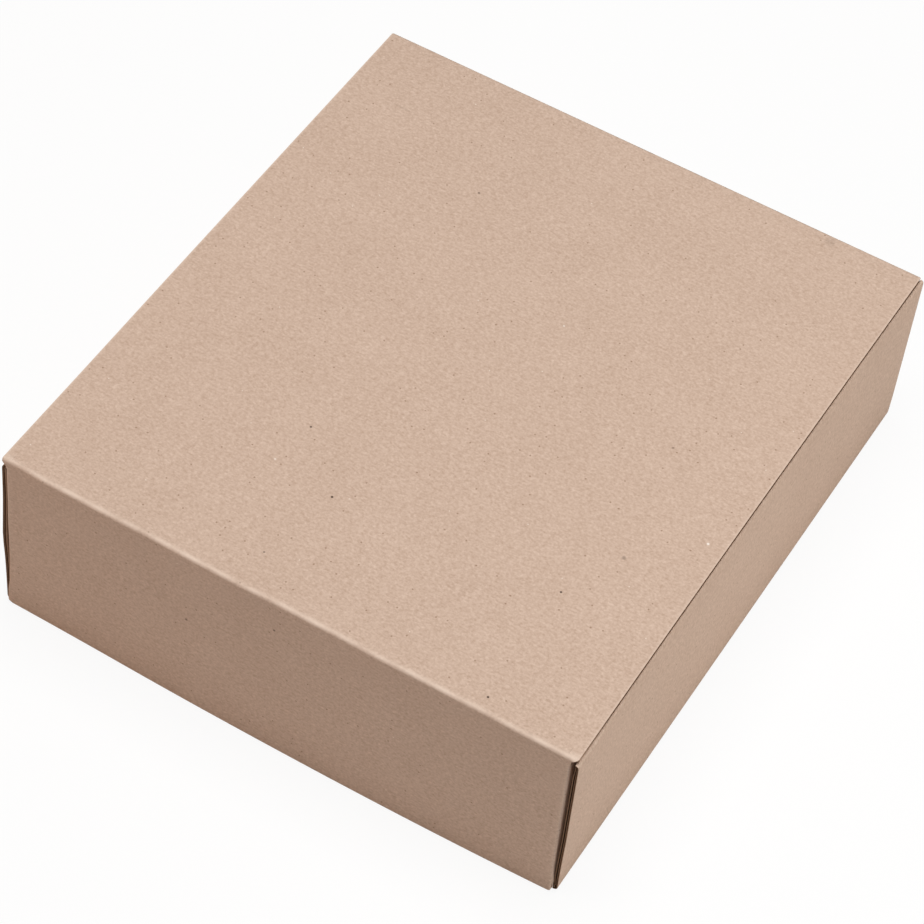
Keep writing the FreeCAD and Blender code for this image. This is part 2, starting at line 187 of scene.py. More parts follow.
@dataclass
class FoldPath:
    """The outer face of a folded sheet, seen along its folds, in millimetres.

    Straight runs join the corners, and each corner is a quarter bend of its own radius. All
    bends turn the same way, so the board's inside is always on that side.
    """

    corners: Array
    bends: tuple[float, ...]
    crush: float = 1.0
    ways: Array = field(init=False)
    sides: Array = field(init=False)
    marks: Array = field(init=False)

    def __post_init__(self) -> None:
        """Works out the direction, inner side and starting arc length of every run."""
        steps = np.diff(self.corners, axis=0)
        lengths = np.linalg.norm(steps, axis=1)
        self.ways = steps / lengths[:, None]
        turn = np.sign(self.ways[0, 0] * self.ways[1, 1] - self.ways[0, 1] * self.ways[1, 0])
        self.sides = np.stack([-self.ways[:, 1], self.ways[:, 0]], axis=1) * turn
        radii = np.array((0.0, *self.bends, 0.0))
        runs = np.empty(2 * len(lengths) - 1)
        runs[0::2] = lengths - radii[:-1] - radii[1:]
        runs[1::2] = radii[1:-1] * np.pi / 2
        self.marks = np.concatenate([[0.0], np.cumsum(runs)])

    def at(self, along: Array) -> tuple[Array, Array]:
        """Outer face and inward normal at an arc length.

        On a straight run the point is its start plus the run's direction times the length. On
        a bend the normal turns from one run's inner side to the next's, and the point is the
        bend's centre less the normal times the radius.

        Args:
            along: arc lengths from the path's start.

        Returns:
            Points and inward normals, the last axis holding two coordinates.
        """
        run = np.clip(np.searchsorted(self.marks, along, side="right") - 1, 0, len(self.marks) - 2)
        leg = run // 2
        radii = np.array((0.0, *self.bends, 1.0))
        local = along - self.marks[run]
        way, side = self.ways[leg], self.sides[leg]
        straight = self.corners[leg] + way * (radii[leg] * (leg > 0) + local)[..., None]
        radius = radii[leg + 1]
        angle = local / radius
        turned = side * np.cos(angle)[..., None] - way * np.sin(angle)[..., None]
        centre = self.corners[leg + 1] + (side - way) * radius[..., None]
        bent = (run % 2 == 1)[..., None]
        inward = np.where(bent, turned, side)
        return np.where(bent, centre - turned * radius[..., None], straight), inward

    def bend_rows(self) -> Array:
        """Arc lengths of the rows of points over the bends."""
        ends = zip(self.marks[1:-1:2], self.marks[2::2])
        return np.concatenate([np.linspace(start, end, BEND_ROWS) for start, end in ends])

    def squeeze(self, along: Array) -> Array:
        """Share of the board's thickness: one, falling smoothly to the crush value at bends.

        Args:
            along: arc lengths from the path's start.

        Returns:
            The share at each arc length.
        """
        middles = (self.marks[1:-1:2] + self.marks[2::2]) / 2
        gap = np.abs(along[..., None] - middles).min(axis=-1)
        near = 1.0 - ramp(gap, *CRUSH_MM)
        return 1.0 - (1.0 - self.crush) * near * near * (3 - 2 * near)


@dataclass
class Shell:
    """One closed skin: points in millimetres, four-sided faces, and what each one is."""

    points: Array
    faces: Array
    kind: Array
    pattern: Array


def stops(low: float, high: float, step: float, marks: tuple[float, ...] = ()) -> Array:
    """Even places with given marks among them.

    Args:
        low: the first place.
        high: the last place.
        step: the widest gap allowed.
        marks: places to include, if they lie between the two.

    Returns:
        The places in order.
    """
    inner = [mark for mark in marks if low < mark < high]
    ends = np.unique(np.array([low, *inner, high]))
    counts = np.maximum(2, np.ceil(np.diff(ends) / step).astype(int) + 1)
    runs = [np.linspace(*row) for row in zip(ends, ends[1:], counts)]
    return np.unique(np.concatenate(runs).round(6))


def merged(*groups: Array) -> Array:
    """Joins groups of places in order, without any that is very close to the one before."""
    places = np.unique(np.concatenate(groups))
    return places[np.concatenate([[True], np.diff(places) > CLOSE_MM])]


def closed_shell(top: Array, bottom: Array, keep: Array, pattern: Array,
                 faces_of: tuple[Face, Face]) -> Shell:
    """Closes two grids of points into a thin skin.

    Each kept cell gives a face on both grids, and each of its sides that has no kept
    neighbour gives a wall from one grid to the other. The faces are turned round if the
    enclosed volume, a sum of triple products over the triangles, comes out negative.

    Args:
        top: points of the outward grid, rows by columns by three.
        bottom: points of the inward grid, of the same shape.
        keep: which cells exist, one row and column fewer.
        pattern: sheet coordinates of each grid point, for the texture.
        faces_of: what the outward and the inward faces are.

    Returns:
        The skin with unused points left out.
    """
    count = top.shape[0] * top.shape[1]
    index = np.arange(count).reshape(top.shape[:2])
    ring = [index[:-1, :-1], index[1:, :-1], index[1:, 1:], index[:-1, 1:]]
    upper = np.stack([corner[keep] for corner in ring], axis=1)
    lower = upper[:, ::-1] + count
    padded = np.pad(keep, 1)
    beside = [padded[1:-1, :-2], padded[2:, 1:-1], padded[1:-1, 2:], padded[:-2, 1:-1]]
    walls = []
    for number, neighbour in enumerate(beside):
        open_side = keep & ~neighbour
        start, end = ring[number][open_side], ring[(number + 1) % 4][open_side]
        walls.append(np.stack([end, start, start + count, end + count], axis=1))
    walls = np.concatenate(walls)
    faces = np.concatenate([upper, lower, walls])
    kind = np.full(len(faces), Face.CUT.value, dtype=np.int32)
    kind[:len(upper)] = faces_of[0].value
    kind[len(upper):2 * len(upper)] = faces_of[1].value
    points = np.concatenate([top.reshape(-1, 3), bottom.reshape(-1, 3)])
    used, renamed = np.unique(faces, return_inverse=True)
    faces = renamed.reshape(faces.shape)
    points = points[used]
    corners = points[faces]
    volume = np.einsum("ij,ij->", corners[:, 0], np.cross(corners[:, 1], corners[:, 2]))
    volume += np.einsum("ij,ij->", corners[:, 0], np.cross(corners[:, 2], corners[:, 3]))
    if volume < 0:
        faces = faces[:, ::-1]
    return Shell(points, faces, kind, np.concatenate([pattern.reshape(-1, 2)] * 2)[used])


def whole(along: Array, across: Array) -> Array:
    """Keeps every cell."""
    return np.ones(np.broadcast(along, across).shape, dtype=bool)


def untrimmed(along: Array, across: Array) -> Array:
    """Leaves widths as they are."""
    return across


@dataclass
class Sheet:
    """A stretch of board: a fold path carried along a width, cut to an outline."""

    path: FoldPath
    plane: Plane
    flutes: Flutes
    along: Array
    across: Array
    board: Board = Board()
    keep: Rule = whole
    trim: Rule = untrimmed
    side: Side = Side.RIGHT

    def skin(self, along: Array, across: Array, keep: Rule, depths: Callable[[Array], tuple],
             faces_of: tuple[Face, Face]) -> Shell:
        """One layer of the board.

        The point at arc length s, width v and depth d is the path's outer face at s, moved
        inward by d times the local squeeze, at the trimmed width.

        Args:
            along: arc lengths of the grid's rows.
            across: widths of the grid's columns.
            keep: says which cells exist, from the middles of the cells.
            depths: gives the two depths of the layer from the coordinate across the flutes.
            faces_of: what the layer's outward and inward faces are.

        Returns:
            The layer as a closed skin.
        """
        s, v = np.meshgrid(along, across, indexing="ij")
        place, inward = self.path.at(s)
        width = self.trim(s, v)
        pattern = np.stack([s, v] if self.flutes is Flutes.ACROSS_PATH else [v, s], axis=-1)
        grids = []
        for depth in depths(pattern[..., 0]):
            flat = place + inward * (depth * self.path.squeeze(s))[..., None]
            grid = self.plane.place(flat, width)
            grid[..., 0] *= self.side.value
            grids.append(grid)
        middle_s = (s[:-1, :-1] + s[1:, 1:]) / 2
        middle_v = (v[:-1, :-1] + v[1:, 1:]) / 2
        return closed_shell(grids[0], grids[1], keep(middle_s, middle_v), pattern, faces_of)

    def liners(self) -> list[Shell]:
        """The outer and the inner paper liner.

        Returns:
            Two closed skins.
        """
        board = self.board
        # The liners' faces toward the flutes take the medium's dark finish, painted shade of the
        # cavity.
        layers = ((0.0, (Face.PRINT, Face.FLUTE)),
                  (board.thickness - board.liner, (Face.FLUTE, Face.INSIDE)))
        return [self.skin(self.along, self.across, self.keep,
                          lambda u: (0.0 * u + depth, 0.0 * u + depth + board.liner), faces_of)
                for depth, faces_of in layers]

    def medium(self, near: Rule) -> list[Shell]:
        """The wavy medium, in fine cells, where a cut edge shows it.

        Args:
            near: says which cells lie near a cut edge.

        Returns:
            The medium as one closed skin.
        """
        board = self.board
        step = board.pitch / CELLS_PER_FLUTE
        along, across = self.along, self.across
        if self.flutes is Flutes.ACROSS_PATH:
            along = stops(along[0], along[-1], step, tuple(along))
        else:
            across = stops(across[0], across[-1], step, tuple(across))
        half = board.medium / 2
        return [self.skin(along, across, lambda s, v: self.keep(s, v) & near(s, v),
                          lambda u: (board.medium_depth(u) - half, board.medium_depth(u) + half),
                          (Face.FLUTE, Face.FLUTE))]


@dataclass(frozen=True)
class Spring:
    """How the folded box stands off its drawn shape, in millimetres.

    Each curve of the height is a row of heights and a row of the shares reached there.
    """

    edge_x: float = 110.0
    edge_y: float = 125.0
    lid_z: float = 75.0
    wall_z: float = 73.0
    under_lid_z: float = 73.3
    lid_corner_lift: float = 0.9
    lid_corner_reach: float = 45.0
    lid_edge_bow: float = 0.5
    lid_back_draw: float = 0.2
    lid_rim_x: tuple[float, float] = (90.0, 110.0)
    wall_x: float = 108.2
    left_wall_bulge: float = 0.65
    left_wall_reach: float = 60.0
    left_wall_belly: tuple[tuple[float, ...], ...] = (
        (0, 12, 23, 34, 45, 55, 62, 72), (0, 0, 0.2, 1, 0.2, -0.5, -0.8, -0.9))
    right_wall_bulge: float = 0.5
    right_x: float = 108.05
    right_front_flare: float = 0.9
    right_front_reach: float = 35.0
    right_front_rise: tuple[tuple[float, ...], ...] = ((0, 2, 12, 30, 73), (0, 0, 0.3, 0.8, 1))
    right_back_flare: float = 0.9
    right_back_y: tuple[float, float] = (85.0, 125.0)
    right_foot_draw: float = 0.9
    right_foot_y: tuple[float, float] = (110.0, 125.0)
    right_foot_z: tuple[float, float] = (25.0, 12.0)
    crease_ripple: float = 0.125
    crease_line: tuple[float, float] = (-124.2, 75.0)
    crease_reach: tuple[float, float] = (3.0, 5.0)
    crease_waves: Waves = ((9.5, 0.7, 1.0), (4.1, 2.0, 0.6))
    crushed_x: float = -98.0
    crushed_reach: float = 12.0

    def move(self, points: Array) -> Array:
        """Moves points by small smooth amounts.

        The lid's left front corner rises by a bell curve of the distance from it. The lid's
        right edge bows in by a parabola along y. The left wall bulges near its front edge by a
        curve of the height and the right wall by a sine of it. The right wall also flares at
        its two ends and its foot draws back there. The crease ripples by two sines, more so
        where it is crushed near its left end.

        Args:
            points: points in millimetres, the last axis holding x, y and z.

        Returns:
            The moved points.
        """
        x, y, z = points[..., 0], points[..., 1], points[..., 2]
        front = y + self.edge_y
        out = points.copy()
        lift = bell(np.hypot(x + self.edge_x, front), self.lid_corner_reach)
        out[..., 2] += self.lid_corner_lift * lift * ramp(z, 0, self.lid_z) ** 4
        draw = self.lid_edge_bow * np.clip(1 - (y / self.edge_y) ** 2, 0, 1)
        draw += self.lid_back_draw * ramp(y, 0, self.edge_y) ** 2
        out[..., 0] -= ramp(x, *self.lid_rim_x) ** 2 * (z > self.under_lid_z) * draw
        belly = np.interp(z, *self.left_wall_belly) * bell(front, self.left_wall_reach)
        out[..., 0] -= self.left_wall_bulge * (x < -self.wall_x) * belly
        belly = np.sin(np.pi * ramp(z, 0, self.wall_z)) * np.clip(1 - (y / self.edge_y) ** 4, 0, 1)
        out[..., 0] += self.right_wall_bulge * (x > self.wall_x) * belly
        right = (x > self.right_x) * (z < self.under_lid_z)
        rise = np.interp(z, *self.right_front_rise) * bell(front, self.right_front_reach)
        out[..., 0] += self.right_front_flare * right * rise
        rise = z / self.wall_z * ramp(y, *self.right_back_y) ** 2
        out[..., 0] += self.right_back_flare * right * rise
        for end, height in zip((-1, 1), self.right_foot_z):
            foot = (1 - ramp(z, 0, height)) ** 2 * ramp(end * y, *self.right_foot_y)
            out[..., 1] -= end * self.right_foot_draw * right * foot
        near = bell(y - self.crease_line[0], self.crease_reach[0])
        near *= bell(z - self.crease_line[1], self.crease_reach[1])
        near *= 1 + bell(x - self.crushed_x, self.crushed_reach)
        out[..., 1] += self.crease_ripple * near * waves(x, self.crease_waves)
        return out


@dataclass(frozen=True)
class PaintedHighlights:
    """Painted highlights: where light catching the folds and cut rims is painted pale, in millimetres
    and shares.
    """

    crease_line: tuple[float, float] = (-124.2, 74.85)
    crease_reach: float = 0.9
    crease_share: float = 0.7
    crease_waves: Waves = ((7.3, 0.0, 0.15), (1.9, 1.0, 0.2))
    bend_line: tuple[float, float] = (107.3, -124.6)
    bend_reach: float = 0.9
    bend_top_z: float = 72.0
    bend_share: float = 0.4
    bend_waves: Waves = ((6.1, 0.0, 0.1),)
    rim_x: tuple[float, float] = (109.3, 109.8)
    rim_z: float = 74.9
    rim_share: float = 0.5
    corner: tuple[float, float] = (110.0, -125.0)
    corner_reach: float = 16.0
    corner_x: float = 109.0
    corner_z: tuple[float, float] = (73.45, 74.95)

    def at(self, points: Array) -> Array:
        """Share of painted highlight at each point.

        The lid's crease and the flap's upright bends get a painted highlight by a bell curve of the
        distance from the fold's line, uneven by sines along it, and the lid's cut rims by a ramp over
        the last part of a millimetre. The lid's right front corner is painted pale all through, by
        a bell curve of the distance from it. It stands for light catching these folds and edges.

        Args:
            points: points in millimetres, before they spring.

        Returns:
            Painted highlight from nought to one.
        """
        x, y, z = points[:, 0], points[:, 1], points[:, 2]
        gap = np.hypot(y - self.crease_line[0], z - self.crease_line[1])
        crease = bell(gap, self.crease_reach) * (self.crease_share + waves(x, self.crease_waves))
        gap = np.hypot(np.abs(x) - self.bend_line[0], y - self.bend_line[1])
        bend = bell(gap, self.bend_reach) * (self.bend_share + waves(z, self.bend_waves))
        bend *= z < self.bend_top_z
        rim = ramp(np.abs(x), *self.rim_x) * (z > self.rim_z) * self.rim_share
        gap = np.hypot(x - self.corner[0], y - self.corner[1])
        low, high = self.corner_z
        corner = bell(gap, self.corner_reach) * (z > low) * (z < high) * (x > self.corner_x)
        return np.clip(np.maximum.reduce([crease, bend, rim, corner]), 0, 1)


SPRING = Spring()
# Painted highlights along the crease, the flap's bends, the lid's cut rims and its right front corner.
PAINTED_HIGHLIGHTS = PaintedHighlights()


def linear(code: str) -> tuple[float, float, float, float]:
    """Turns an sRGB hex colour such as #c0a080 into the linear colour that sockets take."""
    parts = [int(code[place:place + 2], 16) / 255 for place in (1, 3, 5)]
    return (*(p / 12.92 if p <= 0.04045 else ((p + 0.055) / 1.055) ** 2.4 for p in parts), 1.0)


def add_node(tree: Tree, kind: str, settings: dict | None = None,
             links: dict | None = None) -> bpy.types.Node:
    """Adds a node with its settings and links.

    Args:
        tree: the node tree.
        kind: the node's type name.
        settings: values by the name of a property, or the name or number of an input.
        links: output sockets by the name or number of the input that they feed.

    Returns:
        The new node.
    """
    node = tree.nodes.new(kind)
    for name, value in (settings or {}).items():
        if isinstance(name, str) and hasattr(node, name):
            setattr(node, name, value)
        else:
            node.inputs[name].default_value = value
    for name, socket in (links or {}).items():
        tree.links.new(socket, node.inputs[name])
    return node


def paper_base(name: str, roughness: float, gloss: float) -> tuple[bpy.types.Material, bpy.types.Node]:
    """Starts a matt paper material.

    Args:
        name: the material's name.
        roughness: its roughness.
        gloss: its specular level, low because paper is uncoated.

    Returns:
        The material and its shader node.
    """
    material = bpy.data.materials.new(name)
    material.use_nodes = True
    shader = material.node_tree.nodes["Principled BSDF"]
    for socket, value in (("Roughness", roughness), ("IOR", PAPER_IOR), ("Specular IOR Level", gloss)):
        shader.inputs[socket].default_value = value
    return material, shader


@dataclass(frozen=True)
class Mark:
    """One spot on the paper that the photograph shows, in millimetres on the shut box.

    The spot is an ellipsoid. Its radius is divided by the squash along each axis, so a small
    value lets it reach through a bowed panel or draws it out into a scuff.
    """

    place: tuple[float, float, float]
    radius: float
    share: float
    colour: str = "#2b1c12"
    squash: tuple[float, float, float] = (1.0, 1.0, 0.1)
    core: float = 0.4

    def lay_on(self, tree: Tree, place: Socket, paper: Socket) -> Socket:
        """Mixes the spot's colour into the paper, full in its core and gone at its radius.

        Args:
            tree: the material's nodes.
            place: Object coordinates in metres.
            paper: the paper's colour so far.

        Returns:
            The colour with the spot on it.
        """
        scale = [part / (self.radius * MM) for part in self.squash]
        shift = [-part * MM * size for part, size in zip(self.place, scale)]
        near = add_node(tree, "ShaderNodeMapping",
                        {"vector_type": "POINT", "Location": shift, "Scale": scale},
                        {"Vector": place}).outputs["Vector"]
        gap = add_node(tree, "ShaderNodeVectorMath", {"operation": "LENGTH"},
                       {0: near}).outputs["Value"]
        fade = add_node(tree, "ShaderNodeMapRange",
                        {"From Min": self.core, "From Max": 1.0, "To Min": self.share, "To Max": 0.0},
                        {"Value": gap}).outputs["Result"]
        return add_node(tree, "ShaderNodeMix", {"data_type": "RGBA", 7: linear(self.colour)},
                        {0: fade, 6: paper}).outputs[2]


UPRIGHT = (1.0, 0.2, 1.0)
SCUFF = (0.14, 1.0, 0.1)
PALE = "#fbf4ea"
SEEN_MARKS = (
    Mark((-10.4, -77.2, 75.0), 0.55, 1.0),
    Mark((-32.4, -55.5, 75.0), 0.55, 0.82),
    Mark((72.5, -69.4, 75.0), 0.55, 0.92),
    Mark((73.9, -118.7, 75.0), 0.55, 0.95),
    Mark((-41.2, 70.8, 75.0), 0.6, 0.62),
    Mark((82.8, -45.6, 75.0), 1.0, 0.39),
    Mark((-16.5, -109.1, 75.0), 0.5, 0.63),
    Mark((73.8, 5.0, 75.0), 0.6, 0.4),
    Mark((-35.5, -125.9, 43.0), 0.65, 0.6, squash=UPRIGHT),
    Mark((-1.8, -125.3, 61.3), 0.6, 0.65, squash=UPRIGHT),
    Mark((74.9, 121.2, 75.0), 2.6, 0.12),
    Mark((-86.3, 92.1, 75.0), 0.6, 0.1, squash=SCUFF),
    Mark((103.2, -24.9, 75.0), 0.65, 0.8, PALE),
    Mark((-34.8, -74.0, 75.0), 0.5, 0.5, PALE),
    Mark((15.8, 32.3, 75.0), 0.55, 0.5, PALE),
)


@dataclass(frozen=True)
class Specks:
    """Small round specks of one colour strewn over the sheet.

    One cell of the spacing in millimetres holds one, unless it is among the share left out.
    The radius is a share of the cell.
    """

    spacing: float
    colour: str
    left_out: float
    radius: float
    strength: float = 0.6

    def lay_on(self, tree: Tree, sheet: Socket, paper: Socket) -> Socket:
        """Mixes the specks' colour into the paper.

        Args:
            tree: the material's nodes.
            sheet: the sheet's UV map in metres.
            paper: the paper's colour so far.

        Returns:
            The colour with the specks in it.
        """
        cells = add_node(tree, "ShaderNodeTexVoronoi",
                         {"voronoi_dimensions": "2D", "Scale": 1 / (self.spacing * MM)},
                         {"Vector": sheet})
        spot = add_node(tree, "ShaderNodeMath", {"operation": "LESS_THAN", 1: self.radius},
                        {0: cells.outputs["Distance"]}).outputs[0]
        chosen = add_node(tree, "ShaderNodeMath", {"operation": "GREATER_THAN", 1: self.left_out},
                          {0: cells.outputs["Color"]}).outputs[0]
        both = add_node(tree, "ShaderNodeMath", {"operation": "MULTIPLY"},
                        {0: spot, 1: chosen}).outputs[0]
        fade = add_node(tree, "ShaderNodeMath", {"operation": "MULTIPLY", 1: self.strength},
                        {0: both}).outputs[0]
        return add_node(tree, "ShaderNodeMix", {"data_type": "RGBA", 7: linear(self.colour)},
                        {0: fade, 6: paper}).outputs[2]


@dataclass(frozen=True)
class KraftPaper:
    """Recycled kraft paper, made on a wire from mixed pulp and left uncoated.

    That gives the eye a matt, slightly cloudy brown with short fibres of both tones, a few
    dark specks of bark and old print, and a faint washboard where the flutes lie under it.
    The fibres and the tooth are drawn coarser than real ones, so that they show.
    """

    name: str = "recycled_kraft_liner"
    dark: str = "#b79c88"
    light: str = "#dcc4b2"
    # Pale colour of the painted highlight on folds and cut rims, and how strongly it is mixed in.
    highlight_tone: str = "#ead6c5"
    highlight_share: float = 0.8
    specks: tuple[Specks, ...] = (Specks(4.0, "#8a6b54", 0.8, 0.08), Specks(5.0, "#f4e8da", 0.9, 0.045))
    cloud_mm: float = 25.0
    cloud_share: float = 0.1
    grain_mm: float = 0.9
    fibre_mm: tuple[float, float] = (0.8, 1.8)
    fibre_share: float = 0.4
    tone_span: tuple[float, float] = (0.3, 0.7)
    flute_mm: float = 3.2
    washboard_mm: float = 0.012
    tooth_mm: float = 0.04
    roughness: float = 0.88
    gloss: float = 0.3
    marks: tuple[Mark, ...] = ()

    def build(self) -> bpy.types.Material:
        """Makes the material.

        Returns:
            A material that reads Object coordinates for the pulp and the sheet's own UV map,
            in metres across and along the flutes, for fibres and washboard.
        """
        material, shader = paper_base(self.name, self.roughness, self.gloss)
        tree = material.node_tree
        place = add_node(tree, "ShaderNodeTexCoord").outputs["Object"]
        sheet = add_node(tree, "ShaderNodeUVMap", {"uv_map": "sheet"}).outputs["UV"]
        cloud = add_node(tree, "ShaderNodeTexNoise",
                         {"Scale": 1 / (self.cloud_mm * MM), "Detail": 4.0, "Roughness": 0.6},
                         {"Vector": place}).outputs["Fac"]
        grain = add_node(tree, "ShaderNodeTexNoise",
                         {"Scale": 1 / (self.grain_mm * MM), "Detail": 3.0, "Roughness": 0.65},
                         {"Vector": place}).outputs["Fac"]
        stretch = (1 / (self.fibre_mm[0] * MM), 1 / (self.fibre_mm[1] * MM), 1.0)
        drawn = add_node(tree, "ShaderNodeMapping", {"vector_type": "POINT", "Scale": stretch},
                         {"Vector": sheet}).outputs["Vector"]
        fibre = add_node(tree, "ShaderNodeTexNoise",
                         {"Scale": 1.0, "Detail": 2.0, "Distortion": 0.6},
                         {"Vector": drawn}).outputs["Fac"]
        soft = add_node(tree, "ShaderNodeMix", {"data_type": "FLOAT", 0: self.fibre_share},
                        {2: grain, 3: fibre}).outputs[0]
        pulp = add_node(tree, "ShaderNodeMix", {"data_type": "FLOAT", 0: self.cloud_share},
                        {2: soft, 3: cloud}).outputs[0]
        low, high = self.tone_span
        tone = add_node(tree, "ShaderNodeMapRange",
                        {"From Min": low, "From Max": high, "To Min": 0.0, "To Max": 1.0},
                        {"Value": pulp}).outputs["Result"]
        paper = add_node(tree, "ShaderNodeMix",
                         {"data_type": "RGBA", 6: linear(self.dark), 7: linear(self.light)},
                         {0: tone}).outputs[2]
        for specks in self.specks:
            paper = specks.lay_on(tree, sheet, paper)
        for mark in self.marks:
            paper = mark.lay_on(tree, place, paper)
        # Painted highlight: pales the paper where the attribute is set.
        painted_highlight = add_node(tree, "ShaderNodeAttribute", {"attribute_name": "painted_highlight"}).outputs["Fac"]
        highlight_amount = add_node(tree, "ShaderNodeMath", {"operation": "MULTIPLY", 1: self.highlight_share},
                          {0: painted_highlight}).outputs[0]
        paper = add_node(tree, "ShaderNodeMix", {"data_type": "RGBA", 7: linear(self.highlight_tone)},
                         {0: highlight_amount, 6: paper}).outputs[2]
        tree.links.new(paper, shader.inputs["Base Color"])
        board = add_node(tree, "ShaderNodeTexWave",
                         {"wave_type": "BANDS", "bands_direction": "X",
                          "Scale": WAVE_LENGTH / (self.flute_mm * MM)},
                         {"Vector": sheet}).outputs["Fac"]
        ribs = add_node(tree, "ShaderNodeBump",
                        {"Strength": 1.0, "Distance": self.washboard_mm * MM},
                        {"Height": board}).outputs["Normal"]
        tooth = add_node(tree, "ShaderNodeBump", {"Strength": 1.0, "Distance": self.tooth_mm * MM},
                         {"Height": soft, "Normal": ribs}).outputs["Normal"]
        tree.links.new(tooth, shader.inputs["Normal"])
        return material


@dataclass(frozen=True)
class CutPaper:
    """The knife-cut edge of kraft paper and the rougher, darker fluting medium, whose darkness is
    partly painted shade of the flute cavities.

    Cut fibres stand up and catch no sheen, so it is duller and deeper brown than the liner,
    and it takes a pale colour where the painted highlight is set.
    """

    name: str
    dark: str
    light: str
    highlight_tone: str = "#bea089"
    grain_mm: float = 0.5
    tooth_mm: float = 0.05
    tooth_strength: float = 0.6
    roughness: float = 0.95
    gloss: float = 0.2

    def build(self) -> bpy.types.Material:
        """Makes the material.

        Returns:
            A fine noise between two browns with a small bump, paler where the painted highlight is set.
        """
        material, shader = paper_base(self.name, self.roughness, self.gloss)
        tree = material.node_tree
        place = add_node(tree, "ShaderNodeTexCoord").outputs["Object"]
        grain = add_node(tree, "ShaderNodeTexNoise",
                         {"Scale": 1 / (self.grain_mm * MM), "Detail": 3.0},
                         {"Vector": place}).outputs["Fac"]
        paper = add_node(tree, "ShaderNodeMix",
                         {"data_type": "RGBA", 6: linear(self.dark), 7: linear(self.light)},
                         {0: grain}).outputs[2]
        # Painted highlight: pales the cut edge where the attribute is set.
        painted_highlight = add_node(tree, "ShaderNodeAttribute", {"attribute_name": "painted_highlight"}).outputs["Fac"]
        paper = add_node(tree, "ShaderNodeMix", {"data_type": "RGBA", 7: linear(self.highlight_tone)},
                         {0: painted_highlight, 6: paper}).outputs[2]
        tree.links.new(paper, shader.inputs["Base Color"])
        tooth = add_node(tree, "ShaderNodeBump",
                         {"Strength": self.tooth_strength, "Distance": self.tooth_mm * MM},
                         {"Height": grain}).outputs["Normal"]
        tree.links.new(tooth, shader.inputs["Normal"])
        return material


@dataclass
class Finishes:
    """The board's finishes, made once, in the order of the kinds of face."""

    board: list[bpy.types.Material] = field(init=False)

    def __post_init__(self) -> None:
        """Makes the materials."""
        outside = KraftPaper(marks=SEEN_MARKS).build()
        edge = CutPaper("cut_liner_edge", "#7c5e47", "#a38066").build()
        # The medium's very dark browns are partly its own colour and partly painted shade of the flute
        # cavities.
        medium = CutPaper("fluting_medium", "#3f291b", "#553a28").build()
        # The darker inside liner is partly the board's own tone and partly painted shade for the
        # pockets and gaps.
        inside = KraftPaper("test_liner_inside", "#a88a72", "#bfa28b").build()
        self.board = [outside, edge, medium, inside]


def make_piece(name: str, shells: list[Shell],
               materials: list[bpy.types.Material]) -> bpy.types.Object:
    """Puts skins into one mesh object at the origin.

    Args:
        name: the piece's name.
        shells: closed skins in millimetres.
        materials: the finishes, in the order of the kinds of face.

    Returns:
        The object, in the scene, with its sheet pattern as a UV map in metres.
    """
    starts = np.cumsum([0] + [len(shell.points) for shell in shells[:-1]])
    drawn = np.concatenate([shell.points for shell in shells])
    points = SPRING.move(drawn) * MM
    faces = np.concatenate([shell.faces + start for shell, start in zip(shells, starts)])
    pattern = np.concatenate([shell.pattern for shell in shells]) * MM
    mesh = bpy.data.meshes.new(name)
    mesh.vertices.add(len(points))
    mesh.vertices.foreach_set("co", points.astype(np.float32).ravel())
    mesh.loops.add(faces.size)
    mesh.loops.foreach_set("vertex_index", faces.astype(np.int32).ravel())
    mesh.polygons.add(len(faces))
    mesh.polygons.foreach_set("loop_start", np.arange(0, faces.size, 4, dtype=np.int32))
    mesh.update(calc_edges=True)
    mesh.uv_layers.new(name="sheet")
    flat = pattern[faces.ravel()].astype(np.float32).ravel()
    mesh.uv_layers["sheet"].data.foreach_set("uv", flat)
    # Stores the painted highlight share at each point, which the materials use to pale the paper.
    mesh.attributes.new("painted_highlight", "FLOAT", "POINT")
    mesh.attributes["painted_highlight"].data.foreach_set("value", PAINTED_HIGHLIGHTS.at(drawn).astype(np.float32))
    for material in materials:
        mesh.materials.append(material)
    kinds = np.concatenate([shell.kind for shell in shells])
    mesh.polygons.foreach_set("material_index", kinds.astype(np.int32))
    mesh.polygons.foreach_set("use_smooth", np.ones(len(faces), dtype=bool))
    mesh.set_sharp_from_angle(angle=math.radians(SHARP_DEGREES))
    mesh.validate()
    piece = bpy.data.objects.new(name, mesh)
    bpy.context.scene.collection.objects.link(piece)
    LOG.info("%s: %d faces", name, len(faces))
    return piece


